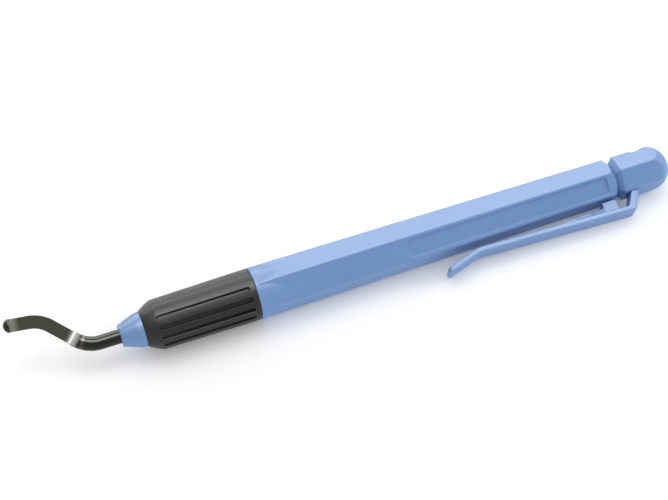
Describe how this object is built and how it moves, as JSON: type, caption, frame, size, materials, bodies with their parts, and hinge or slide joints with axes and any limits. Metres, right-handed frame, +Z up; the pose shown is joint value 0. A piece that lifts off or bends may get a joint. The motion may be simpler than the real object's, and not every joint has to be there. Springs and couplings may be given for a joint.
{
  "type": "deburring tool",
  "caption": "Pen-style deburring tool with a swivelling hooked blade, a fluted grip, a tapered hexagonal body and a pull-off cap with a pocket clip.",
  "frame": {"origin": "on the tool's axis at the front face of the nose, where the blade enters", "axes": "+X along the tool's axis from the nose to the cap, +Z up as the tool lies on a table on its grip and clip, the clip towards -Y"},
  "size_m": [0.1544, 0.0189, 0.0132],
  "materials": {
    "blue_plastic": "satin moulded blue plastic",
    "black_grip": "satin black moulded grip",
    "blade_steel": "black-oxide steel with a ground flat",
    "bush_bronze": "sintered bronze",
    "holder_steel": "turned steel",
    "bearing_steel": "polished hardened steel",
    "seal_rubber": "black rubber ring"
  },
  "bodies": {
    "handle": {"handle_body": "blue_plastic", "grip_sleeve": "black_grip", "nose_cone": "blue_plastic", "nose_bush": "bush_bronze", "blade_holder": "holder_steel", "detent_balls": "bearing_steel", "detent_spring": "bearing_steel", "thrust_ball": "bearing_steel", "thrust_plug": "holder_steel"},
    "blade": {"swivel_blade": "blade_steel"},
    "cap": {"rear_cap": "blue_plastic", "cap_seal_ring": "seal_rubber"},
    "clip": {"pocket_clip": "blue_plastic"}
  },
  "joints": [
    {"name": "blade_swivel", "type": "hinge", "parent": "handle", "child": "blade", "pos_m": [0, 0, 0], "axis": [1, 0, 0], "continuous": true},
    {"name": "cap_pull", "type": "slide", "parent": "handle", "child": "cap", "axis": [1, 0, 0], "range_m": [0, 0.046]},
    {"name": "clip_flex", "type": "hinge", "parent": "cap", "child": "clip", "pos_m": [0.1208, -0.00424, -0.00149], "axis": [0, -0.3305, 0.9438], "range_deg": [0, 5], "stiffness_Nm_per_rad": 1.5}
  ]
}
